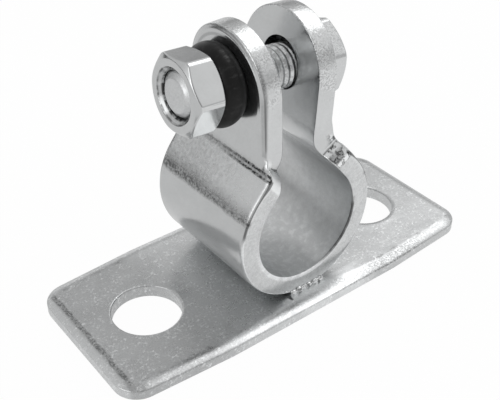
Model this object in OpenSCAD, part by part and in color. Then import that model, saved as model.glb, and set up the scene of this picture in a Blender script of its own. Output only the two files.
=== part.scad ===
// Pipe clamp on a base plate: a folded strip grips a round bar or tube, and its
// two ears are drawn together by a hexagon bolt. Millimetres, +Z up.
// Origin: the middle of the base plate's underside. The bore runs along Y and
// the plate lies along X. The nut is on the near ear, the bolt head on the far ear.

/* [Base plate] */
// Length of the plate
plate_l = 100; // [88:1:140]
// Width across the straight middle stretch
plate_w = 42.4; // [36:0.2:60]
// Width at the two ends, where the sides draw in
plate_end_w = 39.2; // [34:0.2:42]
// Length of the straight middle stretch
plate_mid_l = 48.4; // [36:0.2:60]
// Thickness of the plate
plate_t = 3.2; // [2.4:0.1:6]
// Radius of the four corners
plate_corner_r = 6; // [4:0.5:12]
// Distance between the two screw holes
hole_spacing = 66; // [58:1:70]
// Diameter of the screw holes
plate_hole_d = 16; // [8:0.5:18]
// Radius of the rolled-over top edge
plate_roll_r = 4.5; // [2:0.1:6]
// Drop of the top edge where it meets the side
plate_roll_drop = 0.8; // [0.3:0.1:1.2]
// Radius of the rolled rim of the screw holes
hole_roll_r = 1.4; // [0.8:0.1:2]
// Drop of the rolled rim of the screw holes
hole_roll_drop = 0.25; // [0.1:0.05:0.6]

/* [Clamp band] */
// Diameter of the bore that grips the bar
bore_d = 26.9; // [20:0.1:32]
// Width of the band, along the bore
band_w = 32; // [28:0.5:38]
// Thickness of the strip
strip_t = 4.8; // [3:0.1:5.5]
// Height at which the straight shoulders leave the loop, in degrees
shoulder_angle = 38; // [30:1:45]
// Radius inside the bends between shoulders and ears
bend_r = 4; // [1:0.1:6]
// Distance up the straight shoulder at which the wide band ends
corner_rise = 8; // [6:0.1:8.5]
// Radius of the band's corners beside the ears
band_corner_r = 3; // [2:0.1:3.1]

/* [Ears] */
// Width of the ears
ear_w = 25.6; // [22:0.2:27]
// Gap between the ears at the bolt
slot_w = 9.7; // [8:0.1:12]
// How far the slot sits to one side of the bore's middle
slot_offset = -0.65; // [-1:0.05:1]
// Outward lean of the near ear, in degrees
near_ear_lean = 2; // [0:0.5:4]
// Outward lean of the far ear, in degrees
far_ear_lean = 3.5; // [0:0.5:4]
// Height of the bolt above the top of the loop
bolt_rise = 13; // [12:0.5:18]
// How much wider the bolt holes in the ears are than the bolt
hole_play = 1.8; // [1.8:0.1:3.5]
// How far the bolt holes lie above the bolt's height, so that the bolt hangs low in them
hole_lift = 0.4; // [-0.2:0.05:0.4]

/* [Bolt, nut and ring] */
// Diameter of the bolt's thread
bolt_d = 10; // [8:0.5:10.4]
// Width across the flats of head and nut
hex_af = 16; // [15:0.5:18]
// Height of the bolt head
head_h = 7.3; // [5:0.1:8]
// Height of the nut
nut_h = 7.2; // [6:0.1:10]
// Turn of the bolt head about its axis, in degrees
head_turn = 10; // [0:1:60]
// Turn of the nut about its axis, in degrees
nut_turn = 25; // [0:1:60]
// Width across the turned-down corners, as a share of the width across the flats
hex_corner_share = 1.12; // [1.08:0.01:1.15]
// Diameter of the round face inside the chamfers, as a share of the width across the flats
hex_face_share = 0.94; // [0.88:0.01:0.97]
// Angle of the chamfers on head and nut, in degrees
hex_chamfer_angle = 30; // [15:1:35]
// Chamfer at the bolt's end
bolt_tip_chamfer = 0.8; // [0.4:0.1:1.2]
// Widening at both ends of the nut's thread
nut_flare = 0.8; // [0.4:0.1:1.2]
// Depth of the bolt's end below the nut's face
bolt_end_recess = 0.4; // [0:0.1:1.5]
// Radial clearance between thread and nut
thread_clearance = 0.05; // [0.02:0.01:0.15]
// Thickness of the rubber ring at the bolt's axis
ring_t = 5.5; // [4:0.1:6]
// Outer radius of the rubber ring
ring_r = 9; // [8.4:0.1:10]
// Radius of the ring's bulging side
ring_bulge_r = 3.7; // [3.4:0.1:8]
// Radial clearance between the bolt and the ring
ring_clearance = 0.3; // [0.1:0.1:0.6]

/* [Welds] */
// Length of each weld bead along the plate
weld_l = 9.6; // [6:0.2:12]
// Radius of a drop of the bead
weld_drop_r = 1.5; // [1.2:0.1:1.8]
// How much smaller every other drop is, as a share of the radius
weld_drop_step = 0.08; // [0:0.01:0.15]
// Height of the drops' middles above the plate
weld_drop_rise = 0.4; // [0:0.1:0.8]
// How far the bead stands proud of the band's side
weld_proud = 0.5; // [0.2:0.1:0.8]
// How far the beads sit to one side of the bore's middle
weld_offset = 0.7; // [-2:0.1:2]

/* [Hidden] */
$fn = 96;
// Overshoot of every cut, so that no cut ends in the face that it opens
over = 1;
// Where an arc runs on into a straight line, the line lies this far inside it, so that the two
// cross at a slight angle
nip = 0.05;

// Loop: bore and outer radii, height of its axis, the radius of the strip's middle, and the
// distance of the straight shoulders' middle from the loop's axis
bore_r = bore_d / 2;
loop_r = bore_r + strip_t;
loop_z = plate_t + loop_r;
mid_r = bore_r + strip_t / 2;
shoulder_r = mid_r - nip;
bolt_z = loop_z + loop_r + bolt_rise;
ear_r = ear_w / 2;

// Distance of an ear's middle plane from the bore's middle plane, at the bolt
far_mid_x = slot_w / 2 + strip_t / 2 + slot_offset;
near_mid_x = slot_w / 2 + strip_t / 2 - slot_offset;

// Places along the bolt, counted from the bore's middle plane towards the head
head_seat = far_mid_x * cos(far_ear_lean) + strip_t / 2;
ring_seat = -(strip_t / 2 + near_mid_x * cos(near_ear_lean)) / cos(far_ear_lean + near_ear_lean);
nut_seat = ring_seat - ring_t;
nut_face = nut_seat - nut_h;

// Length of a strip's straight shoulder up to the point where it would meet the ear
function shoulder_run(mid_x, lean) =
    (shoulder_r * cos(shoulder_angle) - mid_x
     - (loop_z + shoulder_r * sin(shoulder_angle) - bolt_z) * tan(lean))
    / (sin(shoulder_angle) + cos(shoulder_angle) * tan(lean));

// Unit vector at an angle in the drawing plane
function along(angle) = [cos(angle), sin(angle)];

// Waste outside a plate edge that rolls down in an arc of radius r, by the height drop.
// The sharp edge is at the origin, with the metal towards -x and -y.
module roll_waste(r, drop) {
    reach = sqrt(r * r - (r - drop) * (r - drop));
    translate([-reach, -r]) difference() {
        square([reach + over, r + over]);
        circle(r);
    }
}

// Angle at which the plate's sides draw in beyond the straight middle
taper = atan((plate_w - plate_end_w) / (plate_l - plate_mid_l));
// Centre of a corner's arc, and its distance from both sides
corner_inset = plate_corner_r - nip;
corner = [plate_l / 2 - corner_inset,
          plate_end_w / 2 + corner_inset * tan(taper) - corner_inset / cos(taper)];

// The four quarters of the plate
module each_quarter() {
    for (sx = [0, 1], sy = [0, 1])
        mirror([sx, 0, 0]) mirror([0, sy, 0]) children();
}

// Plan of the plate with sharp corners: straight middle and sides that draw in
module sharp_plan() {
    polygon([for (s = [1, -1])
        each [[s * plate_mid_l / 2, -s * plate_w / 2], [s * plate_l / 2, -s * plate_end_w / 2],
              [s * plate_l / 2, s * plate_end_w / 2], [s * plate_mid_l / 2, s * plate_w / 2]]]);
}

// What the round corner takes off a quarter of the plate
module corner_waste() {
    far = 2 * plate_corner_r;
    translate([corner[0], corner[1], -over]) linear_extrude(plate_t + 2 * over) difference() {
        polygon([[0, 0], [far, 0], [far, far], [far * tan(taper), far]]);
        circle(plate_corner_r);
    }
}

// A stretch of rolled-over edge that ends at the origin and runs along x, with the plate towards -y
module edge_run(length) {
    translate([-length - over, 0, 0]) rotate([90, 0, 90])
        linear_extrude(length + 3 * over) roll_waste(plate_roll_r, plate_roll_drop);
}

// What the rolled-over edge takes off a quarter of the plate, all the way round its rim
module rim_waste() {
    translate([plate_mid_l / 2, plate_w / 2, plate_t]) edge_run(plate_mid_l / 2);
    translate([corner[0], corner[1], plate_t]) {
        rotate([0, 0, -taper]) translate([0, corner_inset, 0])
            edge_run((corner[0] + corner_inset * sin(taper) - plate_mid_l / 2) / cos(taper));
        rotate_extrude(angle = 90 - taper)
            translate([plate_corner_r, 0]) roll_waste(plate_roll_r, plate_roll_drop);
        mirror([1, -1, 0]) translate([0, corner_inset, 0]) edge_run(corner[1]);
    }
}

module base_plate() {
    color("silver") difference() {
        linear_extrude(plate_t) sharp_plan();
        each_quarter() {
            corner_waste();
            rim_waste();
        }
        for (side = [-1, 1]) translate([side * hole_spacing / 2, 0, 0]) {
            translate([0, 0, -over]) cylinder(d = plate_hole_d, h = plate_t + 2 * over);
            translate([0, 0, plate_t]) rotate_extrude()
                translate([plate_hole_d / 2, 0]) mirror([1, 0]) roll_waste(hole_roll_r, hole_roll_drop);
        }
    }
}

// Everything between the bore's middle plane and one fold of the strip, up to a line that runs
// beside the strip's middle at the distance off: shoulder, bend and ear on the side of +x
module filled_fold(mid_x, lean, off, top) {
    out = along(shoulder_angle);
    climb = [-out[1], out[0]];
    up = along(90 - lean);
    face = along(-lean);
    meet = [0, loop_z] + shoulder_r * out + shoulder_run(mid_x, lean) * climb;
    mitre = (out + face) / (1 + cos(shoulder_angle + lean));
    bend_mid_r = bend_r + strip_t / 2;
    trim = bend_mid_r * tan((shoulder_angle + lean) / 2);
    centre = meet - trim * climb + bend_mid_r * out;
    ear_top = [mid_x, bolt_z] + off * face + top * up;
    polygon([[-over, loop_z], [0, loop_z] + (shoulder_r + off) * out, meet + off * mitre,
             ear_top, [-over, ear_top[1]]]);
    difference() {
        polygon([meet + (off - over) * mitre, meet - trim * climb + off * out,
                 centre, meet + trim * up + off * face]);
        translate(centre) circle(bend_mid_r - off + nip / 2);
    }
}

// Side view, looking along the bore, of all that lies inside the line at the distance off
module filled_profile(off, top) {
    translate([0, loop_z]) circle(mid_r + off);
    filled_fold(far_mid_x, far_ear_lean, off, top);
    mirror([1, 0]) filled_fold(near_mid_x, near_ear_lean, off, top);
}

// Side view of the folded strip: loop, shoulders, bends and ears in one thickness
module fold_profile() {
    difference() {
        filled_profile(strip_t / 2, ear_r + over);
        filled_profile(-strip_t / 2, ear_r + 3 * over);
    }
}

// What is sheared off both sides of the blank on the side of +x: the strip beside the ear, and what
// lies outside the band's round corners. It is cut square through the straight shoulder.
module side_waste() {
    inset = band_w / 2 - band_corner_r + nip;
    reach = loop_r + bolt_rise + ear_r;
    intersection() {
        translate([shoulder_r * cos(shoulder_angle), 0, loop_z + shoulder_r * sin(shoulder_angle)])
            rotate([0, -shoulder_angle, 0]) translate([-strip_t, 0, corner_rise - band_corner_r])
                rotate([90, 0, 90]) linear_extrude(reach)
                    for (end = [0, 1]) mirror([end, 0]) difference() {
                        polygon([[ear_r, band_corner_r - nip], [inset, band_corner_r - nip], [inset, 0],
                                 [band_w, 0], [band_w, reach], [ear_r, reach]]);
                        translate([inset, 0]) circle(band_corner_r);
                    }
        translate([over, -2 * band_w, loop_z]) cube([reach, 4 * band_w, 2 * reach]);
    }
}

// Frame of an ear: origin on its middle plane at the bolt's height, +z up the ear
module ear_frame(side) {
    mid_x = side > 0 ? far_mid_x : near_mid_x;
    lean = side > 0 ? far_ear_lean : near_ear_lean;
    translate([side * mid_x, 0, bolt_z]) rotate([0, side * lean, 0]) children();
}

// What is sheared off round the top of an ear, and its bolt hole
module ear_waste() {
    rotate([90, 0, 90]) linear_extrude(strip_t + 2 * over, center = true) difference() {
        translate([-ear_r - over, 0]) square([ear_w + 2 * over, ear_r + 3 * over]);
        circle(ear_r);
    }
    translate([0, 0, hole_lift]) rotate([0, 90, 0])
        cylinder(d = bolt_d + hole_play, h = strip_t + 2 * over, center = true);
}

module clamp_band() {
    color("gainsboro") difference() {
        rotate([90, 0, 0]) linear_extrude(band_w, center = true) fold_profile();
        for (side = [0, 1]) mirror([side, 0, 0]) side_waste();
        for (side = [-1, 1]) ear_frame(side) ear_waste();
    }
}

// A row of drops in the corner between the band's side and the plate, flat against both
module weld_bead() {
    drops = round(weld_l / weld_drop_r);
    pitch = (weld_l - 2 * weld_drop_r) / (drops - 1);
    color("darkgray") intersection() {
        for (i = [0 : drops - 1])
            translate([weld_offset - weld_l / 2 + weld_drop_r + i * pitch,
                       weld_drop_r - weld_proud - band_w / 2, plate_t + weld_drop_rise])
                sphere(weld_drop_r * (1 - weld_drop_step * (i % 2)), $fn = $fn / 2);
        translate([-2 * weld_l, -band_w, plate_t]) cube([4 * weld_l, band_w / 2, loop_z]);
    }
}

module front_weld() weld_bead();
module rear_weld() mirror([0, 1, 0]) weld_bead();

// Frame of the bolt, square on the far ear: +z along the bolt towards its head
module bolt_frame() {
    translate([0, 0, bolt_z]) rotate([0, far_ear_lean, 0]) rotate([0, 90, 0]) children();
}

// Hexagon from z = 0 to h, with chamfers on the ends that are named
module chamfered_hex(h, turn, low_end, high_end) {
    tip_r = hex_af / sqrt(3);
    corner_r = hex_corner_share * hex_af / 2;
    face_r = hex_face_share * hex_af / 2;
    rise = (corner_r - face_r) * tan(hex_chamfer_angle);
    intersection() {
        rotate([0, 0, turn]) cylinder(r = tip_r, h = h, $fn = 6);
        rotate_extrude() polygon([[0, 0], [low_end ? face_r : corner_r, 0],
            [corner_r, low_end ? rise : 0], [corner_r, high_end ? h - rise : h],
            [high_end ? face_r : corner_r, h], [0, h]]);
    }
}

module hex_bolt() {
    shank_end = nut_face + bolt_end_recess;
    color("silver") bolt_frame() {
        translate([0, 0, head_seat]) chamfered_hex(head_h, head_turn, false, true);
        rotate_extrude() polygon([[0, shank_end], [bolt_d / 2 - bolt_tip_chamfer, shank_end],
            [bolt_d / 2, shank_end + bolt_tip_chamfer], [bolt_d / 2, head_seat + over],
            [0, head_seat + over]]);
    }
}

module hex_nut() {
    bore = bolt_d / 2 + thread_clearance;
    color("silver") bolt_frame() translate([0, 0, nut_face]) difference() {
        chamfered_hex(nut_h, nut_turn, true, true);
        translate([0, 0, -over]) cylinder(r = bore, h = nut_h + 2 * over);
        for (end = [0, 1]) translate([0, 0, end * nut_h]) mirror([0, 0, end])
            translate([0, 0, -over]) cylinder(r1 = bore + nut_flare + over, r2 = bore, h = nut_flare + over);
    }
}

// Rubber ring with a bulging side, squeezed flat against the near ear's outer face
module rubber_ring() {
    wedge = ring_r * tan(far_ear_lean + near_ear_lean);
    color("dimgray") difference() {
        bolt_frame() translate([0, 0, nut_seat]) rotate_extrude() difference() {
            intersection() {
                translate([ring_r - ring_bulge_r, ring_t / 2]) circle(ring_bulge_r);
                square([ring_r, ring_t + wedge]);
            }
            translate([0, -over]) square([bolt_d / 2 + ring_clearance, ring_t + wedge + 2 * over]);
        }
        ear_frame(-1) translate([-strip_t / 2, -2 * ring_r, -2 * ring_r]) cube(4 * ring_r);
    }
}

base_plate();
clamp_band();
front_weld();
rear_weld();
hex_bolt();
hex_nut();
rubber_ring();
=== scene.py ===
import math

import bmesh
import bpy
import numpy as np
from mathutils import Matrix, Vector
from mathutils.geometry import delaunay_2d_cdt


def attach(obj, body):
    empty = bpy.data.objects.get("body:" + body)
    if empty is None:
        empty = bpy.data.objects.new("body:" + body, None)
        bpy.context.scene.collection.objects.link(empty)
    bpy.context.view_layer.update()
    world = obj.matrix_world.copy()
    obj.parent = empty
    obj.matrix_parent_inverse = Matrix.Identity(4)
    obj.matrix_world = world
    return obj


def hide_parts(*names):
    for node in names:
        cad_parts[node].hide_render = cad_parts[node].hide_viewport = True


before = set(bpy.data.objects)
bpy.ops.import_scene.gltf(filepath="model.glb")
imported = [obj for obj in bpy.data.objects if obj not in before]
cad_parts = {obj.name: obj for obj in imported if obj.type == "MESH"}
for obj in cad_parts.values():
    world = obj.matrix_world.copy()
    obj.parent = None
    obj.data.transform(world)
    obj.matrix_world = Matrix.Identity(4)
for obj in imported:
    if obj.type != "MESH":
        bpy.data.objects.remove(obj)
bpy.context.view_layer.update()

# Sizes in millimetres and angles in degrees, as the solids have them
PLATE_L, PLATE_W, PLATE_END_W, PLATE_MID_L, PLATE_T = 100.0, 42.4, 39.2, 48.4, 3.2
CORNER_R, HOLE_X, HOLE_R = 6.0, 33.0, 8.0
BORE_R, STRIP_T, BAND_W, SHOULDER, BEND_R = 13.45, 4.8, 32.0, 38.0, 4.0
LOOP_R, MID_R = BORE_R + STRIP_T, BORE_R + STRIP_T / 2
LOOP_Z = PLATE_T + LOOP_R
BOLT_Z = LOOP_Z + LOOP_R + 13.0
EAR_R, EAR_HOLE_R, HOLE_LIFT = 12.8, 5.9, 0.4
FAR_X, NEAR_X, FAR_LEAN, NEAR_LEAN = 6.6, 7.9, 3.5, 2.0
BOLT_R, HEX_AF, HEX_CORNER_R, HEAD_H, NUT_H, RING_T = 5.0, 16.0, 8.96, 7.3, 7.2, 5.5
HEX_FACE_SHARE, HEX_CHAMFER, HEAD_TURN, NUT_TURN = 0.94, 30.0, 10.0, 25.0
HEAD_SEAT = FAR_X * math.cos(math.radians(FAR_LEAN)) + STRIP_T / 2
RING_SEAT = -(STRIP_T / 2 + NEAR_X * math.cos(math.radians(NEAR_LEAN))) / math.cos(
    math.radians(FAR_LEAN + NEAR_LEAN))
NUT_FACE = RING_SEAT - RING_T - NUT_H

# The band's corners beside the ears: how far up the shoulders they lie, and their radius, which is larger
# than in the solid
FAR_RISE, NEAR_RISE, BAND_CORNER_R = 7.3, 8.0, 4.5

# What folding does to the strip: how far its sides swell in a bend, the stretch up the bend in which its
# sheared ends stay square, the stretch in which that fades, and the depth of the groove at a bend's foot
SWELL, SQUARE_SPAN, SQUARE_FADE, GROOVE_DEPTH = 0.8, 2.6, 5.0, 0.13

# The plate's rolled edge: how far in it begins, how much farther at the welds, and how far it drops
ROLL_REACH, ROLL_EXTRA, ROLL_DROP = 2.9, 1.5, 0.78

# The welds: where a bead begins and ends along X, its first drop, the step from drop to drop, and a
# drop's mean radius
WELD_START, WELD_END, FIRST_DROP, DROP_STEP, DROP_R = -4.1, 5.5, -3.4, 1.62, 0.80

# Half the strip's thickness and half its width
HALF_T, HALF_W = STRIP_T / 2, BAND_W / 2
MM = 0.001
rng = np.random.default_rng(7)


def bolt_matrix():
    """The bolt's frame, in millimetres: z runs along the bolt towards its head."""
    return (Matrix.Translation((0, 0, BOLT_Z)) @ Matrix.Rotation(math.radians(FAR_LEAN), 4, "Y")
            @ Matrix.Rotation(math.radians(90), 4, "Y"))


def add(name, data):
    """A new object of the scene that holds the data."""
    obj = bpy.data.objects.new(name, data)
    bpy.context.scene.collection.objects.link(obj)
    return obj


def put(name, points, faces, matrix=None):
    """Makes a piece from points in millimetres and faces. The matrix, if any, moves the points first."""
    points = np.asarray(points, dtype=float)
    if matrix is not None:
        m = np.array(matrix)
        points = points @ m[:3, :3].T + m[:3, 3]
    mesh = bpy.data.meshes.new(name)
    mesh.from_pydata((points * MM).tolist(), [], faces)
    bm = bmesh.new()
    bm.from_mesh(mesh)
    bmesh.ops.remove_doubles(bm, verts=bm.verts, dist=2e-6)
    bmesh.ops.recalc_face_normals(bm, faces=bm.faces)
    bm.to_mesh(mesh)
    bm.free()
    mesh.shade_smooth()
    return add(name, mesh)


def grid_faces(rows, cols, close_rows=False, base=0):
    """Quads of a grid whose rows are closed rings of cols points. With close_rows the last row joins the
    first one."""
    i, j = np.meshgrid(np.arange(rows if close_rows else rows - 1), np.arange(cols), indexing="ij")
    here, after = i * cols, (i + 1) % rows * cols
    following = (j + 1) % cols
    quads = np.stack([here + j, here + following, after + following, after + j], axis=-1)
    return (base + quads).reshape(-1, 4).tolist()


def end_caps(rows, cols):
    """The two faces that close the first and the last ring of a grid."""
    return [list(range(cols)), list(range((rows - 1) * cols, rows * cols))]


def ray(angle):
    """Unit vectors at the angles."""
    return np.column_stack([np.cos(angle), np.sin(angle)])


def soften(obj, width, angle):
    """Rounds the edges of a piece that turn by more than the angle, in degrees, with a bevel of a width in
    millimetres."""
    mesh = obj.data
    bm = bmesh.new()
    bm.from_mesh(mesh)
    layer = bm.edges.layers.float.get("bevel_weight_edge") or bm.edges.layers.float.new("bevel_weight_edge")
    for e in bm.edges:
        if len(e.link_faces) == 2 and e.calc_face_angle() > math.radians(angle):
            e[layer] = 1.0
    bm.to_mesh(mesh)
    bm.free()
    mod = obj.modifiers.new("Edges", "BEVEL")
    mod.limit_method = "WEIGHT"
    mod.offset_type = "OFFSET"
    mod.width = width * MM
    mod.segments = 3
    mod.use_clamp_overlap = True
    mod.harden_normals = True
    return obj


def from_node(node, name):
    """A copy of a CAD node's mesh, with its loose triangles merged and its flat faces joined up."""
    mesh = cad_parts[node].data.copy()
    mesh.name = name
    bm = bmesh.new()
    bm.from_mesh(mesh)
    bmesh.ops.remove_doubles(bm, verts=bm.verts, dist=1e-6)
    bmesh.ops.dissolve_limit(bm, angle_limit=math.radians(0.4), verts=bm.verts, edges=bm.edges)
    bmesh.ops.recalc_face_normals(bm, faces=bm.faces)
    bm.to_mesh(mesh)
    bm.free()
    mesh.shade_smooth()
    return add(name, mesh)


# Sheets with rolled rims. No point of a sheet's grid comes nearer to a rim's points than RIM_GAP.
RIM_GAP = 0.45


def inside(points, loops):
    """Which points lie inside an odd number of the closed loops."""
    count = np.zeros(len(points), dtype=int)
    x, y = points[:, :1], points[:, 1:2]
    for loop in loops:
        ax, ay = loop[:, 0], loop[:, 1]
        bx, by = np.roll(ax, -1), np.roll(ay, -1)
        rise = np.where(by == ay, 1e-12, by - ay)
        count += (((ay > y) != (by > y)) & (x < (bx - ax) * (y - ay) / rise + ax)).sum(axis=1)
    return count % 2 == 1


def clear_of(points, loops, gap):
    """Which points lie farther than gap from every corner of the loops."""
    far = np.ones(len(points), dtype=bool)
    for loop in loops:
        d = np.hypot(points[:, :1] - loop[:, 0], points[:, 1:2] - loop[:, 1])
        far &= d.min(axis=1) > gap
    return far


def roll_rows(bottom, top, reach, drop, foot, edge=0.3, ridge=0.0):
    """Rows of a sheet's rim, from its underside to its top: each the offset into the metal and the
    height. The underside's edge is rounded by foot. The top sinks by drop times the square of one minus
    the distance from the edge over reach, and an arc of the radius edge joins it to the side. A ridge,
    if any, runs along the middle of the sunk stretch."""
    def sunk(e):
        t = np.minimum(e / reach, 1)
        return top - drop * (1 - t) ** 2 + ridge * np.sin(np.pi * np.clip((t - 0.25) / 0.5, 0, 1)) ** 2

    # The arc ends where the sunk top has the arc's own slope, which a few rounds find
    slope = np.arctan(2 * drop / reach)
    for _ in range(6):
        start = edge * (1 - np.sin(slope))
        slope = np.arctan(2 * drop / reach * (1 - start / reach))
    centre = sunk(start) - edge * np.cos(slope)
    rows = [(foot, bottom), (0.3 * foot, bottom + 0.09 * foot), (0.06 * foot, bottom + 0.4 * foot),
            (0, bottom + foot)]
    rows += [(0, bottom + foot + (centre - bottom - foot) * t) for t in (0.35, 0.7)]
    for t in (0, 0.25, 0.5, 0.75, 1):
        a = np.pi / 2 - (np.pi / 2 - slope) * t
        rows.append((edge * (1 - np.sin(a)), centre + edge * np.cos(a)))
    offsets = [start + (reach - start) * t for t in np.linspace(0, 1, 13)[1:]]
    return rows + [(offset, sunk(offset)) for offset in offsets]


def sheet_skin(name, rims, grid, place, top_wave):
    """Closed surface of a sheet with holes. Each rim has its points, the directions away from the metal,
    and its rows, where a row's offset and height may differ from point to point. Between the first rows
    lies the underside and between the last rows the top, both through the points of the grid."""
    flat, heights, faces, starts = [], [], [], []
    count = 0
    for points, away, rows in rims:
        starts.append((count, len(points), len(rows)))
        for offset, height in rows:
            flat.append(points - away * np.broadcast_to(offset, len(points))[:, None])
            heights.append(np.broadcast_to(height, len(points)).astype(float))
        faces += grid_faces(len(rows), len(points), base=count)
        count += len(rows) * len(points)
    flat, heights = np.vstack(flat), np.concatenate(heights)

    # Level 0 is every rim's first row, round the underside, and level -1 its last one, round the top
    for level in (0, -1):
        ids, edges, loops = [], [], []
        for start, n, rows in starts:
            first = start + (level % rows) * n
            edges += [(len(ids) + i, len(ids) + (i + 1) % n) for i in range(n)]
            ids += list(range(first, first + n))
            loops.append(flat[first:first + n])
        inner = grid[inside(grid, loops) & clear_of(grid, loops, RIM_GAP)]
        ids += list(range(len(flat), len(flat) + len(inner)))
        flat = np.vstack([flat, inner])
        base = heights[starts[0][0] + (level % starts[0][2]) * starts[0][1]]
        heights = np.concatenate([heights, base + (top_wave(inner) if level else np.zeros(len(inner)))])
        cut = delaunay_2d_cdt([tuple(flat[i]) for i in ids], edges, [], 0, 1e-7)
        tris = np.array([[ids[cut[3][i][0]] for i in f] for f in cut[2]])
        faces += tris[inside(flat[tris].mean(axis=1), loops)].tolist()
    return put(name, place(flat, heights), faces)


def circle(x, r, n):
    """Points round a hole, and the directions away from the metal."""
    away = -ray(np.linspace(0, 2 * math.pi, n, endpoint=False))
    return (x, 0) - away * r, away


def joined(right, left):
    """One outline of two that meet at x = 0. The left one is given as its mirror image."""
    return np.vstack([right, (left * (-1, 1))[::-1][1:]])


def mirrored(points, away):
    """The whole of an outline whose points run from y = 0 to y = 0 on the side of +y."""
    return tuple(np.vstack([half, (half * (1, -1))[::-1][1:-1]]) for half in (points, away))


# Base plate
def plate_outline():
    """Points on the plate's outline, and the directions away from the metal. A quarter of it runs up the
    end, round the corner's arc, along the tapered side and along the straight middle; the directions turn
    evenly from the taper's to the middle's on both sides of the knee."""
    taper = math.atan((PLATE_W - PLATE_END_W) / (PLATE_L - PLATE_MID_L))
    cx = PLATE_L / 2 - CORNER_R
    cy = PLATE_END_W / 2 + CORNER_R * math.tan(taper) - CORNER_R / math.cos(taper)
    end_y = np.linspace(0, cy, 12)[:-1]
    turn = np.linspace(0, math.pi / 2 - taper, 15)
    along_taper = np.linspace(0, 1, 22)[1:]
    along_middle = np.linspace(0, 1, 24)[1:]
    corner = (cx, cy) + CORNER_R * ray(turn)
    knee = np.array((PLATE_MID_L / 2, PLATE_W / 2))
    points = np.vstack([
        np.column_stack([np.full(len(end_y), PLATE_L / 2), end_y]), corner,
        corner[-1] + (knee - corner[-1]) * along_taper[:, None],
        np.column_stack([PLATE_MID_L / 2 * (1 - along_middle), np.full(len(along_middle), PLATE_W / 2)])])
    away = ray(np.concatenate([
        np.zeros(len(end_y)), turn,
        math.pi / 2 - taper * (1 - np.maximum(0.0, along_taper - 0.85) / 0.3),
        math.pi / 2 - taper * np.maximum(0.0, 0.12 - along_middle) / 0.24]))
    return mirrored(joined(points, points), joined(away, away))


def make_plate():
    """Closed surface: a flat sheet whose rims roll down, the outline's rim wider in front of and behind
    the welds. The top has a faint wave of a few hundredths of a millimetre."""
    points, away = plate_outline()
    reach = ROLL_REACH + ROLL_EXTRA * np.clip(1 - np.abs(points[:, 0] - 3) / 17, 0, 1) ** 1.3
    rims = [(points, away, roll_rows(0.0, PLATE_T, reach, ROLL_DROP, 0.4))]
    for side, hole_reach in ((-1, 0.5), (1, 1.1)):
        hole_rows = roll_rows(0.0, PLATE_T, hole_reach, 0.16, 0.2)
        rims.append(circle(side * HOLE_X, HOLE_R, 96) + (hole_rows,))
    gx, gy = np.meshgrid(np.arange(-47.2, 47.3, 1.6), np.arange(-19.2, 19.3, 1.6))
    grid = np.column_stack([(gx + 0.8 * (np.arange(gx.shape[0])[:, None] % 2)).ravel(), gy.ravel()])

    def wave(p):
        x, y = p[:, 0], p[:, 1]
        return 0.014 * (np.sin(x * 0.31 + 1.3 * np.sin(y * 0.23)) + np.sin(y * 0.42 + x * 0.11)
                        + 0.5 * np.sin(x * 0.83 + y * 0.61) - 2.5)

    return sheet_skin("plate_skin", rims, grid, lambda p, h: np.column_stack([p, h]), wave)


plate = make_plate()


# Clamp band
class Fold:
    """One half of the folded strip. Along the strip's middle it runs from the bottom of the loop round to
    the shoulder, straight up it, round the bend and up the ear. In the cross-section, foot and climb are
    the shoulder's start and direction, centre and r the bend's, and ear and up the ear's. Places along
    the strip are loop_end, bend_start, ear_start, bolt, and corner, below which the band is wide."""

    def __init__(self, mid_x, lean, rise):
        self.theta, self.lean = math.radians(SHOULDER), math.radians(lean)
        c, s, t = math.cos(self.theta), math.sin(self.theta), math.tan(self.lean)
        run = (MID_R * c - mid_x - (LOOP_Z + MID_R * s - BOLT_Z) * t) / (s + c * t)
        self.r = BEND_R + HALF_T
        trim = self.r * math.tan((self.theta + self.lean) / 2)
        self.foot = np.array((MID_R * c, LOOP_Z + MID_R * s))
        self.climb = np.array((-s, c))
        self.up = np.array((math.sin(self.lean), math.cos(self.lean)))
        self.centre = self.foot + (run - trim) * self.climb + self.r * np.array((c, s))
        self.ear = self.centre - self.r * np.array((math.cos(self.lean), -math.sin(self.lean)))
        self.loop_end = MID_R * (math.pi / 2 + self.theta)
        self.bend_start = self.loop_end + run - trim
        self.ear_start = self.bend_start + self.r * (self.theta + self.lean)
        self.bolt = self.ear_start + (np.array((mid_x, BOLT_Z)) - self.ear) @ self.up
        self.corner = self.loop_end + rise

    def bulge(self, s):
        """How strongly the strip's sides are squeezed out of true at s: 1 near the middle of the bend."""
        return np.exp(-((s - (self.bend_start + self.ear_start) / 2 + 0.6) / 2.3) ** 2)

    def place(self, s, h):
        """Distance outwards and height of what lies at s along the strip and h outside its middle. In the
        bend a cut across the blank stays square to the shoulder, through the whole thickness."""
        past = s - self.bend_start
        u = np.clip(past, 0, SQUARE_SPAN)
        fade = np.clip(1 - (past - SQUARE_SPAN) / SQUARE_FADE, 0, 1)
        lag = self.r * (np.arcsin(u / (self.r - h)) - np.arcsin(u / self.r))
        s = s + lag * fade * fade * (3 - 2 * fade)
        stretches = [s < self.loop_end, s < self.bend_start, s < self.ear_start]
        in_loop = s / MID_R - math.pi / 2
        in_bend = self.theta - (s - self.bend_start) / self.r
        n = ray(np.select(stretches, [in_loop, self.theta, in_bend], -self.lean))
        s = s[:, None]
        mid = np.select([stretch[:, None] for stretch in stretches],
                        [MID_R * n + (0, LOOP_Z), self.foot + (s - self.loop_end) * self.climb,
                         self.centre - self.r * n], self.ear + (s - self.ear_start) * self.up)
        return (mid + h[:, None] * n).T


FOLDS = {1: Fold(FAR_X, FAR_LEAN, FAR_RISE), -1: Fold(NEAR_X, NEAR_LEAN, NEAR_RISE)}


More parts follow.
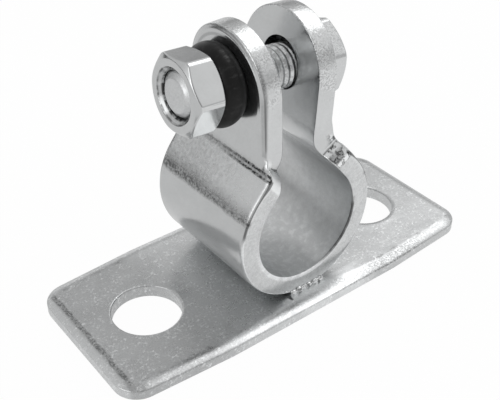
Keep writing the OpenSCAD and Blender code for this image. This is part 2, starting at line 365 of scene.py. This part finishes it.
def fold_strip(flat, heights):
    """Folds the flat blank, whose middle line runs along its first axis from the near to the far ear.
    At the bends its sides swell on the hollow face and draw in on the other one."""
    out = np.zeros((len(flat), 3))
    for side, fold in FOLDS.items():
        own = flat[:, 0] * side >= 0
        s, y, h = np.abs(flat[own, 0]), flat[own, 1], heights[own]
        x, z = fold.place(s, h)
        near_rim = np.clip((np.abs(y) - 8) / 5, 0, 1) ** 2
        y = y + np.sign(y) * SWELL * h / HALF_T * fold.bulge(s) * near_rim
        out[own] = np.column_stack([side * x, y, z])
    return out


def blank_side(fold):
    """Outline of half the flat blank on the side of +y, and the directions away from the metal. It runs
    round the ear's top, down its side to the foot, round the corner's arc and along the loop's edge to
    the middle of the loop. At the foot the direction lies between those of the side and the arc."""
    arc = fold.corner - BAND_CORNER_R
    start = math.asin((EAR_R - HALF_W + BAND_CORNER_R) / BAND_CORNER_R)
    foot = arc + BAND_CORNER_R * math.cos(start)
    top = np.linspace(0, math.pi / 2, 30)
    down = np.linspace(fold.bolt, foot, 24)[1:]
    turn = np.linspace(start, math.pi / 2, 13)[1:]
    along = np.linspace(arc, 0, 48)[1:]
    points = np.vstack([
        (fold.bolt, 0) + EAR_R * ray(top), np.column_stack([down, np.full(len(down), EAR_R)]),
        (arc, HALF_W - BAND_CORNER_R) + BAND_CORNER_R * ray(turn),
        np.column_stack([along, np.full(len(along), HALF_W)])])
    away = np.vstack([ray(top), np.tile((0, 1), (len(down), 1)), ray(turn), np.tile((0, 1), (len(along), 1))])
    away[len(top) + len(down) - 1] = (0.8, 1)
    return points, away


def make_band():
    """Closed surface: the flat blank with rolled-over rims on its outer face, folded round the bore and
    up into the ears. The outer face has a shallow groove pressed in at the foot of each bend, and a
    faint wave."""
    near, far = FOLDS[-1], FOLDS[1]
    points, away = mirrored(*(joined(f, n) for f, n in zip(blank_side(far), blank_side(near))))
    on_near = np.clip((-points[:, 0] - near.corner) / 1.5, 0, 1)
    on_far = np.clip((points[:, 0] - far.corner + 3) / 3, 0, 1)
    reach, drop = 1.2 + 1.1 * on_near - 0.5 * on_far, 0.32 + 0.33 * on_near - 0.2 * on_far
    edge, ridge = 0.3 - 0.1 * on_far, 0.07 * on_near
    rims = [(points, away, roll_rows(-HALF_T, HALF_T, reach, drop, 0.3, edge, ridge))]
    hole_rows = roll_rows(-HALF_T, HALF_T, 0.5, 0.1, 0.15, 0.15)
    lines = np.arange(-80, 80.1, 1.0)
    for side, fold in FOLDS.items():
        rims.append(circle(side * (fold.bolt + HOLE_LIFT), EAR_HOLE_R, 64) + (hole_rows,))
        lines = lines[np.abs(side * lines - fold.bend_start) > 1.6]
        lines = np.concatenate([lines, side * (fold.bend_start + np.linspace(-1.5, 1.5, 11))])
    gx, gy = np.meshgrid(np.sort(lines), np.arange(-15, 15.1, 1.25))
    grid = np.column_stack([gx.ravel(), gy.ravel()])

    def wave(p):
        s, y = p[:, 0], p[:, 1]
        out = 0.012 * (np.sin(s * 0.37 + np.sin(y * 0.31)) + np.sin(y * 0.53 + s * 0.19) - 2)
        for side, fold in FOLDS.items():
            g = np.clip(1 - np.abs(side * s - fold.bend_start) / 1.1, 0, 1)
            out -= GROOVE_DEPTH * g * g * (3 - 2 * g) * (0.8 + 0.2 * np.sin(y * 2.1 + np.sin(y * 5)))
        return out

    return sheet_skin("band_skin", rims, grid, fold_strip, wave)


band = make_band()


# Hexagons, bolt and nut
def turned(radius, along, angles):
    """Points round an axis, ring by ring. The radius and the place along the axis may differ from ring to
    ring and from angle to angle."""
    r, z, a = np.broadcast_arrays(radius, along, angles)
    return np.stack([r * np.cos(a), r * np.sin(a), z], axis=-1).reshape(-1, 3)


def hex_piece(name, height, turn, both_ends, bore=0.0, flare=0.0):
    """Closed surface round the bolt's axis, from 0 up to the height: at each angle the radius runs to the
    hexagon's side or to its turned-down corner, whichever is less. The chamfer at the upper end, and with
    both_ends the one at the lower end too, is a cone of 30 degrees that starts on a circle of 0.94 of the
    width across flats. A bore, if any, has a flare of 45 degrees at each end."""
    edge = math.degrees(math.pi / 6 - math.acos(HEX_AF / 2 / HEX_CORNER_R))
    steps = [0, edge / 2, edge, 7, 12, 18, 24, 30, 36, 42, 48, 53, 60 - edge, 60 - edge / 2]
    a = np.radians([60 * k + step for k in range(6) for step in steps])
    side = np.minimum(HEX_AF / 2 / np.cos(a % (math.pi / 3) - math.pi / 6), HEX_CORNER_R)
    face = HEX_FACE_SHARE * HEX_AF / 2
    rise = np.tan(math.radians(HEX_CHAMFER)) * (side - face)
    low_z, high_z = rise if both_ends else 0 * rise, height - rise
    inner = bore + flare if bore else 0.01
    middle = (inner + face) / 2
    rings = [(inner, 0.0), (middle, 0.0), (face if both_ends else side - 0.4, 0.0), (side, low_z),
             (side, (low_z + high_z) / 2), (side, high_z), (face, height), (middle, height), (inner, height)]
    if bore:
        rings += [(bore, height - flare), (bore, flare)]
    radius, along = (np.array([np.broadcast_to(v, len(a)) for v in values]) for values in zip(*rings))
    faces = grid_faces(len(rings), len(a), close_rows=bool(bore))
    if not bore:
        faces += end_caps(len(rings), len(a))
    return put(name, turned(radius, along, a + math.radians(turn)), faces, bolt_matrix())


def shifted(obj, along):
    """Moves a piece's points along the bolt."""
    axis = np.array(bolt_matrix())[:3, 2] * along * MM
    co = np.empty(len(obj.data.vertices) * 3)
    obj.data.vertices.foreach_get("co", co)
    obj.data.vertices.foreach_set("co", (co.reshape(-1, 3) + axis).ravel())
    return obj


nut = soften(shifted(hex_piece("nut_skin", NUT_H, NUT_TURN, True, BOLT_R + 0.05, 1.1), NUT_FACE), 0.3, 14)
head = soften(shifted(hex_piece("head_skin", HEAD_H, HEAD_TURN, False), HEAD_SEAT), 0.25, 14)


def make_shank():
    """Closed surface round the bolt's axis. Its radius is plain near the head, and from there to the nut's
    end it dips in a groove that winds with 1.5 mm a turn; the end is chamfered, with a shallow hollow."""
    n, pitch, depth = 72, 1.5, 0.42
    end, plain = NUT_FACE + 0.4, 4.9
    threaded = np.arange(end + 0.85, plain + 0.8, pitch / 12)
    z = np.concatenate([threaded, np.linspace(plain + 0.9, HEAD_SEAT + 0.3, 6)])[:, None]
    a = np.arange(n) * 2 * math.pi / n
    turn = (z / pitch - a / (2 * math.pi)) % 1.0
    groove = np.clip(1 - np.abs(turn - 0.5) / 0.42, 0, 1)
    fade = np.clip((plain - z) / 0.5, 0, 1)
    tip = np.array([(0.02, 0.03), (2.4, 0.03), (3.4, 0), (3.65, 0.06), (3.8, 0.2), (4.35, 0.55)])
    radius = np.vstack([np.tile(tip[:, :1], n), BOLT_R - 0.02 - depth * fade * groove])
    z = np.vstack([end + tip[:, 1:], z])
    faces = grid_faces(len(z), n) + end_caps(len(z), n)
    return put("shank_skin", turned(radius, z, a), faces, bolt_matrix())


shank = make_shank()

# Rubber ring
ring = soften(from_node("rubber_ring", "ring_skin"), 0.35, 35)


# Welds
def make_weld(name, side):
    """Closed surface. A bead along X whose radius, at each place, is that of the highest of six half
    circles, one for each drop. Their middles and radii differ a little from those of an even row."""
    n, drops = 24, 6
    middle = np.arange(drops) * DROP_STEP + FIRST_DROP + rng.normal(0, 0.16, drops)
    size = DROP_R + rng.normal(0, 0.13, drops)
    x = np.linspace(WELD_START, WELD_END, 84)[:, None]
    a = np.arange(n) * 2 * math.pi / n
    half_circles = size * np.sqrt(np.maximum(0.0, 1 - (x - middle) ** 2))
    radius = np.maximum(0.02, half_circles.max(axis=1, keepdims=True))
    y = side * (HALF_W - 0.1) + radius * 0.9 * np.cos(a)
    z = PLATE_T + 0.3 + radius * np.sin(a)
    points = np.stack(np.broadcast_arrays(x, y, z), axis=-1).reshape(-1, 3)
    return put(name, points, grid_faces(len(x), n) + end_caps(len(x), n))


front_bead = make_weld("front_bead", -1)
rear_bead = make_weld("rear_bead", 1)


# Shader values
class Value:
    """A socket of a node tree, with arithmetic that adds Math nodes."""

    def __init__(self, tree, socket):
        self.tree, self.socket = tree, socket

    def node(self, kind, settings=None, **inputs):
        """Any node: inputs by name or, with a leading underscore, by number."""
        node = self.tree.nodes.new(kind)
        for key, value in (settings or {}).items():
            setattr(node, key, value)
        for key, value in inputs.items():
            target = node.inputs[int(key[1:])] if key[0] == "_" else node.inputs[key]
            if isinstance(value, Value):
                self.tree.links.new(value.socket, target)
            else:
                target.default_value = value
        return Value(self.tree, node.outputs[0])

    def into(self, node, name):
        """Links the value to an input of a node."""
        self.tree.links.new(self.socket, node.inputs[name])

    def split(self):
        """The three components of a vector."""
        node = self.tree.nodes.new("ShaderNodeSeparateXYZ")
        self.into(node, 0)
        return [Value(self.tree, s) for s in node.outputs]

    def maths(self, operation, *others):
        values = {"_%d" % i: v for i, v in enumerate((self,) + others)}
        return self.node("ShaderNodeMath", settings={"operation": operation}, **values)

    def ramp(self, low, high, a=0.0, b=1.0):
        """Smoothly from a to b while the value goes from low to high."""
        return self.node("ShaderNodeMapRange", settings={"interpolation_type": "SMOOTHSTEP"},
                         _0=self, _1=low, _2=high, _3=a, _4=b)

    def __add__(self, o):
        return self.maths("ADD", o)

    __radd__ = __add__

    def __mul__(self, o):
        return self.maths("MULTIPLY", o)

    __rmul__ = __mul__

    def __sub__(self, o):
        return self.maths("SUBTRACT", o)

    def __rsub__(self, o):
        return self.node("ShaderNodeMath", settings={"operation": "SUBTRACT"}, _0=o, _1=self)

    def __abs__(self):
        return self.maths("ABSOLUTE")


def find(tree, kind):
    """The node of a kind that a new tree already has."""
    return next(n for n in tree.nodes if n.type == kind)


def source(tree, kind, output):
    """What a node without inputs gives, such as the place on the object."""
    return Value(tree, tree.nodes.new(kind).outputs[output])


def distance(a, b):
    """Length of the vector with these two components."""
    return (a * a + b * b).maths("SQRT")


def noise(place, size, detail=2.0, rough=0.5, stretch=None):
    """Noise from 0 to 1 whose blobs are about size millimetres across."""
    if stretch:
        place = place.node("ShaderNodeVectorMath", settings={"operation": "MULTIPLY"}, _0=place, _1=stretch)
    return place.node("ShaderNodeTexNoise", _2=1.0 / size, _3=detail, _4=rough, Vector=place)


def grey(value, warm=1.0, cool=1.0):
    """A colour from one value."""
    return value.node("ShaderNodeCombineColor", _0=value * warm, _1=value, _2=value * cool)


# Finishes
def new_material(name):
    """A material with a Principled shader. Gives the material, the shader node, and the place on the
    object in millimetres as a vector and as three values."""
    mat = bpy.data.materials.new(name)
    mat.use_nodes = True
    coord = source(mat.node_tree, "ShaderNodeTexCoord", "Object")
    place = coord.node("ShaderNodeVectorMath", settings={"operation": "SCALE"}, _0=coord, Scale=1 / MM)
    return mat, find(mat.node_tree, "BSDF_PRINCIPLED"), place, place.split()


def zinc(name, level, grain, rough, marks):
    """Bright zinc plating: a fine speckle, soft blotches, and a faint unevenness from the rolled steel
    beneath. marks adds a piece's own marks to its tone, roughness and height."""
    mat, shader, place, xyz = new_material(name)
    fine = noise(place, 0.35, 3.0, 0.6)
    blotch = noise(place, 5.0, 3.0, 0.55)
    mid = noise(place, 1.3, 2.0, 0.5)
    spark = noise(place, 0.22, 1.0, 0.5).ramp(0.66, 0.76)
    clusters = noise(place, 2.2, 2.0, 0.5).ramp(0.52, 0.7)
    tone = level + (blotch - 0.5) * 0.10 + (fine - 0.5) * 0.16 * grain + spark * clusters * 0.25 * grain
    roughness = rough + (mid - 0.5) * 0.12 + (fine - 0.5) * 0.10 + (blotch - 0.5) * 0.08
    height = (fine - 0.5) * 0.010 * grain + (mid - 0.5) * 0.018 * grain + (blotch - 0.5) * 0.05
    tone, roughness, height = marks(place, xyz, tone, roughness, height)
    grey(tone.maths("MINIMUM", 0.95), 0.985, 1.005).into(shader, "Base Color")
    roughness.maths("MAXIMUM", 0.08).into(shader, "Roughness")
    shader.inputs["Metallic"].default_value = 1.0
    height.node("ShaderNodeBump", Height=height, Strength=0.6, Distance=MM).into(shader, "Normal")
    return mat


def sheared_corner(x, y, z, side):
    """1 on the sheared faces at the corners between the band and one ear, through the sheet's thickness
    but not on its two sides, and 0 elsewhere."""
    fold = FOLDS[side]
    (foot_x, foot_z), (climb_x, climb_z), (centre_x, centre_z) = (
        [float(c) for c in point] for point in (fold.foot, fold.climb, fold.centre))
    out, rise, side_y = x * float(side) - foot_x, z - foot_z, abs(y)
    along = out * climb_x + rise * climb_z
    on_shoulder = HALF_T - out * climb_z + rise * climb_x
    in_bend = distance(x * float(side) - centre_x, z - centre_z) - BEND_R
    bend = float(fold.bend_start - fold.loop_end)
    late = along.ramp(bend - 0.1, bend + 0.1)
    under = on_shoulder * (1.0 - late) + in_bend * late
    return (under.ramp(0.35, 0.6) * under.ramp(STRIP_T - 0.1, STRIP_T - 0.4)
            * side_y.ramp(EAR_R + 0.05, EAR_R + 0.3) * side_y.ramp(HALF_W - 0.02, HALF_W - 0.1)
            * (x * float(side)).ramp(5, 7) * z.ramp(31, 32) * z.ramp(41, 39))


def band_marks(place, xyz, tone, roughness, height):
    """Coarse, dull marks where the strip was bent: beside the tangent lines of the loop and in the
    grooves under the ears. The sheared rims round the ears and at the far corner have torn grain, and the
    sheared face at the near corner has a flat painted highlight. The front face and the bore are mottled,
    with painted light and painted glints on the bore's lower part, and the shoulders have painted light that
    grows towards the front. A fine dark line runs along the bore's edge, two painted shade lines round the
    near ear's face stand in for the shading of its rim's ridges, and a painted reflection runs along the
    loop's edges, dark high up and light low down."""
    x, y, z = xyz
    up, out, side_y = z - LOOP_Z, abs(x), abs(y)
    angle = up.maths("ARCTAN2", out) * (180 / math.pi)
    radius = distance(out, up)
    coarse = noise(place, 0.8, 3.0, 0.65)
    torn = noise(place, 0.36, 3.0, 0.7).ramp(0.42, 0.60)
    patch = noise(place, 2.4, 2.0, 0.5).ramp(0.35, 0.6)
    mottle = noise(place, 1.6, 3.0, 0.6)
    grit = noise(place, 0.6, 3.0, 0.7).ramp(0.42, 0.56)
    wander = (noise(place, 5.0, 2.0) - 0.5) * 3

    # Creases beside the tangent lines, grooves at the foot of each bend, and the coarse shoulders between
    outer = radius.ramp(LOOP_R - 1.2, LOOP_R - 0.4)
    crease = (abs(angle + wander - 24) + y.ramp(10, -14, 0.0, 1.8)).ramp(5.4, 1.4) * outer
    grooves = []
    for side, fold in FOLDS.items():
        gx, gz = fold.place(np.array([fold.bend_start]), np.array([HALF_T]))
        off = distance(x - float(side * gx[0]), z - float(gz[0]))
        dark_line = abs(off - 0.55).ramp(0.40, 0.12) * (y + wander).ramp(4, -9)
        grooves.append(dark_line + off.ramp(0.9, 0.2) * y.ramp(14, 4, 0.3, 0.5))
    groove = grooves[0].maths("MAXIMUM", grooves[1])
    marks = crease.maths("MAXIMUM", groove)
    shoulder = angle.ramp(24, 30) * outer * z.ramp(38, 36)
    rough_zone = marks.maths("MAXIMUM", shoulder * 0.45)

    # Sheared rims: round the ears, and at the corners beside the far and the near one
    from_bolt = distance(y, (z - BOLT_Z).maths("MAXIMUM", 0.0))
    ear_rim = from_bolt.ramp(EAR_R - 0.5, EAR_R - 0.2)
    ear_rim = ear_rim * (z + x * 0.2 + (patch - 0.5) * 3).ramp(BOLT_Z - 2.2, BOLT_Z + 1.8)
    rim = ear_rim * (0.35 + patch * 0.65)
    far_corner, near_corner_highlight = sheared_corner(x, y, z, 1), sheared_corner(x, y, z, -1)
    blot = noise(place, 1.1, 1.5, 0.5).ramp(0.42, 0.54) * (0.4 + torn * 0.6)

    # Fine lines: two of painted shade round the near ear's face, one at the bore's edge, and a painted
    # reflection at the loop's
    face = x.ramp(-8.9, -9.6)
    line = abs(from_bolt - EAR_R + 0.18).ramp(0.30, 0.12) * face * z.ramp(41, 43) * z.ramp(63, 57)
    faint_ridge_shade = abs(from_bolt - EAR_R + 2.1).ramp(0.5, 0.15) * face * z.ramp(50, 54)
    bore_edge = radius.ramp(BORE_R + 0.48, BORE_R + 0.24) * side_y.ramp(HALF_W - 0.55, HALF_W - 0.35)
    bore_edge = bore_edge * x.ramp(3, 8) * up.ramp(3, -1)
    loop_edge_reflection = side_y.ramp(HALF_W - 0.6, HALF_W - 0.35) * radius.ramp(LOOP_R - 0.6, LOOP_R - 0.3)
    loop_edge_reflection = loop_edge_reflection * z.ramp(38.5, 37.5)

    # The bore, with painted light and painted glints on its lower part, and the front and rear faces
    in_bore = radius.ramp(BORE_R + 1.2, BORE_R + 0.6)
    low_bore_light = in_bore * (up + x * 0.4).ramp(-3, -12)
    on_side = side_y.ramp(HALF_W - 0.12, HALF_W - 0.02)

    tone = tone * (1.0 - marks * (0.20 + grit * 0.52) - groove.ramp(0.3, 0.9) * 0.12)
    # Painted shade lines on the near ear's face, and a dark line at the bore's edge
    tone = tone * (1.0 - line * 0.55) * (1.0 - faint_ridge_shade * 0.28) * (1.0 - bore_edge * 0.75)
    # The last term is painted light on the shoulders, growing towards the front
    tone = tone * (1.0 - rim * torn * 0.26) + rim * (1.0 - torn) * 0.12 + shoulder * y.ramp(6, -12) * 0.12
    tone = tone + shoulder * (coarse - 0.5) * y.ramp(-13, 0) * 0.60
    # The last term is a flat painted highlight on the near corner's sheared face
    tone = tone * (1.0 - far_corner * blot * 0.92) + far_corner * (1.0 - blot) * 0.28 + near_corner_highlight * 0.3
    tone = tone + on_side * ((mottle - 0.5) * 0.16 + (grit - 0.5) * 0.06)
    tone = tone + in_bore * ((mottle - 0.5) * 0.24 - 0.01)
    # Painted light and painted glints on the bore's lower part
    tone = tone + low_bore_light * (0.22 + mottle.ramp(0.50, 0.66) * 0.12)
    # Painted reflection along the loop's edges: dark high up, light low down
    tone = tone * (1.0 - loop_edge_reflection * angle.ramp(10, 16) * 0.7) + loop_edge_reflection * angle.ramp(14, 8) * 0.25
    roughness = roughness + rough_zone * 0.2 + rim * 0.08 + in_bore * 0.16 + near_corner_highlight * 0.25
    height = height + (coarse - 0.5) * (0.16 * rough_zone + 0.12 * rim)
    return tone, roughness, height


def plate_marks(place, xyz, tone, roughness, height):
    """A dark, torn strip just inside the rolled edge at the plate's left end, and fainter ones along the
    two sides. Bright flecks on the whole plate and a speckled roll along the sides. A painted highlight on
    the roll at the left end, painted light beside the loop's left foot where shade falls, painted shade on
    the left wing, and a painted highlight in front of the weld."""
    x, y, z = xyz
    torn = noise(place, 0.42, 3.0, 0.7).ramp(0.40, 0.58)
    patch = noise(place, 3.5, 2.0, 0.5)
    fleck = noise(place, 0.6, 3.0, 0.7).ramp(0.50, 0.68) * noise(place, 2.8, 2.0, 0.6).ramp(0.35, 0.60)
    taper = (PLATE_W - PLATE_END_W) / (PLATE_L - PLATE_MID_L)
    from_side = PLATE_W / 2 - (abs(x) - PLATE_MID_L / 2).maths("MAXIMUM", 0.0) * taper - abs(y)
    end_strip = abs(x + PLATE_L / 2 - 2.5 - (patch - 0.5)).ramp(0.75, 0.3) * from_side.ramp(2.0, 3.4)
    side_strip = abs(from_side - 2.6 - (patch - 0.5)).ramp(0.6, 0.2) * patch.ramp(0.45, 0.65) * 0.6
    strip = end_strip.maths("MAXIMUM", side_strip) * z.ramp(PLATE_T - 1.2, PLATE_T - 0.9)
    rolled = from_side.ramp(2.6, 2.0) * z.ramp(PLATE_T - 1.3, PLATE_T - 0.9)
    speckle = 0.16 + x.ramp(2, 9) * x.ramp(38, 30) * y.ramp(0, -1) * 0.3
    # The last term is a painted highlight on the rolled left end
    tone = tone * (1.0 - strip * (0.18 + torn * 0.42)) + x.ramp(-48.0, -48.8) * 0.16
    tone = tone * (1.0 - rolled * torn * speckle) + fleck * 0.30
    # Painted light beside the loop's left foot, and painted shade on the left wing
    tone = tone + x.ramp(-30, -16) * x.ramp(4, -8) * 0.11 - x.ramp(-20, -30) * 0.035
    # Painted highlight on the plate in front of the weld
    tone = tone + y.ramp(-15.5, -16.5) * abs(x - 6).ramp(14, 6) * (0.08 + patch * 0.2)
    return tone, roughness, height + (torn - 0.5) * 0.04 * strip


def nut_marks(place, xyz, tone, roughness, height):
    """Dark, broken rings in the flare of the nut's bore."""
    x, y, z = xyz
    radius = distance(y, z - BOLT_Z + x * math.tan(math.radians(FAR_LEAN)))
    torn = noise(place, 1.2, 3.0, 0.6).ramp(0.42, 0.60)
    flare = radius.ramp(6.25, 6.05) * radius.ramp(4.1, 4.4)
    rings = abs(radius - 5.15).ramp(0.30, 0.10).maths("MAXIMUM", abs(radius - 5.95).ramp(0.22, 0.08) * 0.7)
    tone = tone * (1.0 - flare * (rings * (0.35 + torn * 0.4) + torn * 0.16))
    return tone, roughness + flare * 0.06, height


def shank_marks(place, xyz, tone, roughness, height):
    """Blotchy plating on the thread, but not at the bolt's end."""
    blot = noise(place, 1.1, 3.0, 0.65).ramp(0.40, 0.62)
    inner = xyz[0].ramp(-18.0, -17.0)
    tone = tone * (1.0 + inner * (blot * 0.5 - 0.28))
    return tone, roughness + blot * 0.08, height + (blot - 0.5) * 0.05 * inner


def head_marks(place, xyz, tone, roughness, height):
    """A coarse dark speckle on the head's upper flanks, which makes them darker."""
    torn = noise(place, 0.4, 3.0, 0.7).ramp(0.42, 0.60)
    upper = xyz[2].ramp(BOLT_Z + 2.0, BOLT_Z + 3.2)
    return tone * (1.0 - upper * torn * 0.24), roughness + upper * 0.06, height


def weld_marks(place, xyz, tone, roughness, height):
    """Dark scale in patches on a weld."""
    scale = noise(place, 0.7, 3.0, 0.6).ramp(0.50, 0.60)
    return tone * (1.0 - scale * 0.6) + (1.0 - scale) * 0.16, roughness, height + (scale - 0.5) * 0.05


def rubber(name):
    """Black rubber with a dull sheen, fine grain and smears, and a shinier coat in patches."""
    mat, shader, place, _ = new_material(name)
    grain = noise(place, 0.25, 3.0, 0.6)
    smear = noise(place, 3.0, 3.0, 0.6)
    shine = noise(place, 1.4, 3.0, 0.6, (0.6, 2.0, 2.0)).ramp(0.54, 0.70)
    grey(0.003 + smear * 0.004 + grain * 0.003).into(shader, "Base Color")
    (0.40 + (smear - 0.5) * 0.25 + (grain - 0.5) * 0.1).into(shader, "Roughness")
    (shine * 0.45).into(shader, "Coat Weight")
    shader.inputs["Coat Roughness"].default_value = 0.22
    shader.inputs["Specular IOR Level"].default_value = 0.22
    height = (grain - 0.5) * 0.02 + (smear - 0.5) * 0.12
    height.node("ShaderNodeBump", Height=height, Strength=0.5, Distance=MM).into(shader, "Normal")
    return mat


plate_zinc = zinc("plate_zinc", 0.58, 1.6, 0.30, plate_marks)
band_zinc = zinc("band_zinc", 0.64, 0.8, 0.20, band_marks)
head_zinc = zinc("head_zinc", 0.64, 0.9, 0.20, head_marks)
shank_zinc = zinc("shank_zinc", 0.70, 2.2, 0.36, shank_marks)
nut_zinc = zinc("nut_zinc", 0.66, 0.35, 0.17, nut_marks)
weld_zinc = zinc("weld_zinc", 0.66, 1.6, 0.16, weld_marks)
ring_rubber = rubber("ring_rubber")

for obj, mat, slot, nodes in (
        (plate, plate_zinc, "plate_steel", ["base_plate"]), (band, band_zinc, "band_steel", ["clamp_band"]),
        (nut, nut_zinc, "nut_steel", ["hex_nut"]), (head, head_zinc, "bolt_steel", ["hex_bolt"]),
        (shank, shank_zinc, "bolt_steel", []), (ring, ring_rubber, "ring_rubber", ["rubber_ring"]),
        (front_bead, weld_zinc, "weld_steel", ["front_weld"]),
        (rear_bead, weld_zinc, "weld_steel", ["rear_weld"])):
    obj.data.materials.clear()
    obj.data.materials.append(mat)
    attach(obj, "root")
    if nodes:
        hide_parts(*nodes)


# Floor
def floor_material():
    """White to the camera but for the part's shadow. Reflections see it darker towards the left and the
    rear, with a dark patch beyond the plate's left end."""
    mat = bpy.data.materials.new("floor_white")
    mat.use_nodes = True
    tree = mat.node_tree
    shader = find(tree, "BSDF_PRINCIPLED")
    shader.inputs["Base Color"].default_value = (0.93, 0.93, 0.93, 1)
    shader.inputs["Roughness"].default_value = 0.9
    shader.inputs["Specular IOR Level"].default_value = 0.0
    camera_ray = source(tree, "ShaderNodeLightPath", "Is Camera Ray")
    glossy_ray = source(tree, "ShaderNodeLightPath", "Is Glossy Ray")
    east, north, _ = (c * 5.0 for c in source(tree, "ShaderNodeTexCoord", "Object").split())
    patch = distance((east + 0.45) * 0.8, north + 0.08).ramp(0.13, 0.06) * 0.25
    level = ((east - north).ramp(-0.5, 0.4, 0.70, 0.95) - patch).maths("MAXIMUM", camera_ray)
    glow = tree.nodes.new("ShaderNodeEmission")
    grey(level).into(glow, "Color")
    glow.inputs["Strength"].default_value = 1.0
    mix = tree.nodes.new("ShaderNodeMixShader")
    (camera_ray * 0.97).maths("MAXIMUM", glossy_ray * 0.8).into(mix, 0)
    tree.links.new(shader.outputs[0], mix.inputs[1])
    tree.links.new(glow.outputs[0], mix.inputs[2])
    tree.links.new(mix.outputs[0], find(tree, "OUTPUT_MATERIAL").inputs["Surface"])
    return mat


half, below = 4.0, -0.0002
floor_mesh = bpy.data.meshes.new("floor")
corners = ((-half, -half), (half, -half), (half, half), (-half, half))
floor_mesh.from_pydata([(x, y, below) for x, y in corners], [], [(0, 1, 2, 3)])
floor = add("floor", floor_mesh)
floor.data.materials.append(floor_material())

# World: white to the camera. To the part it is a grey sky, lighter above on the right, with a dark stretch
# low on the left at the rear, and with patches that are given by their direction, the nearness to it at
# which they begin and are full, and what they add or, below 0, take away.
PATCHES = (((0.68, 0.24, 0.69), 0.94, 0.985, 0.42), ((-0.96, 0.0, 0.28), 0.86, 0.97, 0.3),
           ((0.34, -0.17, 0.92), 0.95, 0.99, 0.5), ((-0.58, 0.62, 0.53), 0.90, 0.975, 0.07),
           ((0.25, 0.96, 0.05), 0.92, 0.98, 0.5), ((0.60, 0.72, 0.35), 0.93, 0.99, -0.24),
           ((-0.45, -0.76, 0.44), 0.93, 0.985, -0.3))
world = bpy.data.worlds.new("studio")
bpy.context.scene.world = world
world.use_nodes = True
dx, dy, dz = source(world.node_tree, "ShaderNodeTexCoord", "Generated").split()


def towards(x, y, z):
    """How near the direction lies to another one: 1 where it is the same."""
    n = math.sqrt(x * x + y * y + z * z)
    return dx * (x / n) + dy * (y / n) + dz * (z / n)


sky = 0.58 + dx.ramp(0.30, 0.64) * dz.ramp(0.25, 0.5) * 0.30
sky = sky - towards(-0.77, 0.64, 0.0).ramp(0.6, 0.8) * abs(dz - 0.01).ramp(0.16, 0.07) * 0.52
for direction, begins, full, gain in PATCHES:
    sky = sky + towards(*direction).ramp(begins, full) * gain
to_camera = source(world.node_tree, "ShaderNodeLightPath", "Is Camera Ray")
back = find(world.node_tree, "BACKGROUND")
grey(sky * (1.0 - to_camera) + to_camera).into(back, "Color")
back.inputs["Strength"].default_value = 1.0


# Lamps
def lamp(name, place, aim, size, watts):
    """A soft square lamp that points at a place. Places and size are in metres."""
    data = bpy.data.lights.new(name, "AREA")
    data.shape = "SQUARE"
    data.size = size
    data.energy = watts
    obj = add(name, data)
    obj.location = place
    obj.rotation_euler = (Vector(place) - Vector(aim)).to_track_quat("Z", "Y").to_euler()


lamp("key", (0.29, 0.06, 0.5), (0, 0, 0.02), 0.36, 0.42)
lamp("fill", (-0.55, -0.1, 0.3), (0, 0, 0.02), 0.40, 0.5)

# Camera: solved from the plate's corners, sides and holes in the photograph. It looks at AIM from a
# distance, both in millimetres, and its focal length is in pixels of the photograph's width.
AZ, EL, ROLL = math.radians(-37.788), math.radians(35.731), math.radians(0.151)
AIM, DISTANCE, FOCAL_PX, PHOTO_W, SENSOR_W = np.array([-3.7245, 0.0, 20.6444]), 202.189, 880.468, 500, 36.0
backwards = np.array([math.sin(AZ) * math.cos(EL), -math.cos(AZ) * math.cos(EL), math.sin(EL)])
level_right = np.array([math.cos(AZ), math.sin(AZ), 0])
level_up = np.cross(backwards, level_right)
cam_data = bpy.data.cameras.new("camera")
cam_data.sensor_fit = "HORIZONTAL"
cam_data.sensor_width = SENSOR_W
cam_data.lens = FOCAL_PX * SENSOR_W / PHOTO_W
cam_data.clip_start = 0.01
cam = add("camera", cam_data)
pose = np.eye(4)
pose[:3, 0] = level_right * math.cos(ROLL) + level_up * math.sin(ROLL)
pose[:3, 1] = -level_right * math.sin(ROLL) + level_up * math.cos(ROLL)
pose[:3, 2] = backwards
pose[:3, 3] = (AIM + backwards * DISTANCE) * MM
cam.matrix_world = Matrix(pose.tolist())
bpy.context.scene.camera = cam
bpy.context.scene.view_settings.view_transform = "Standard"
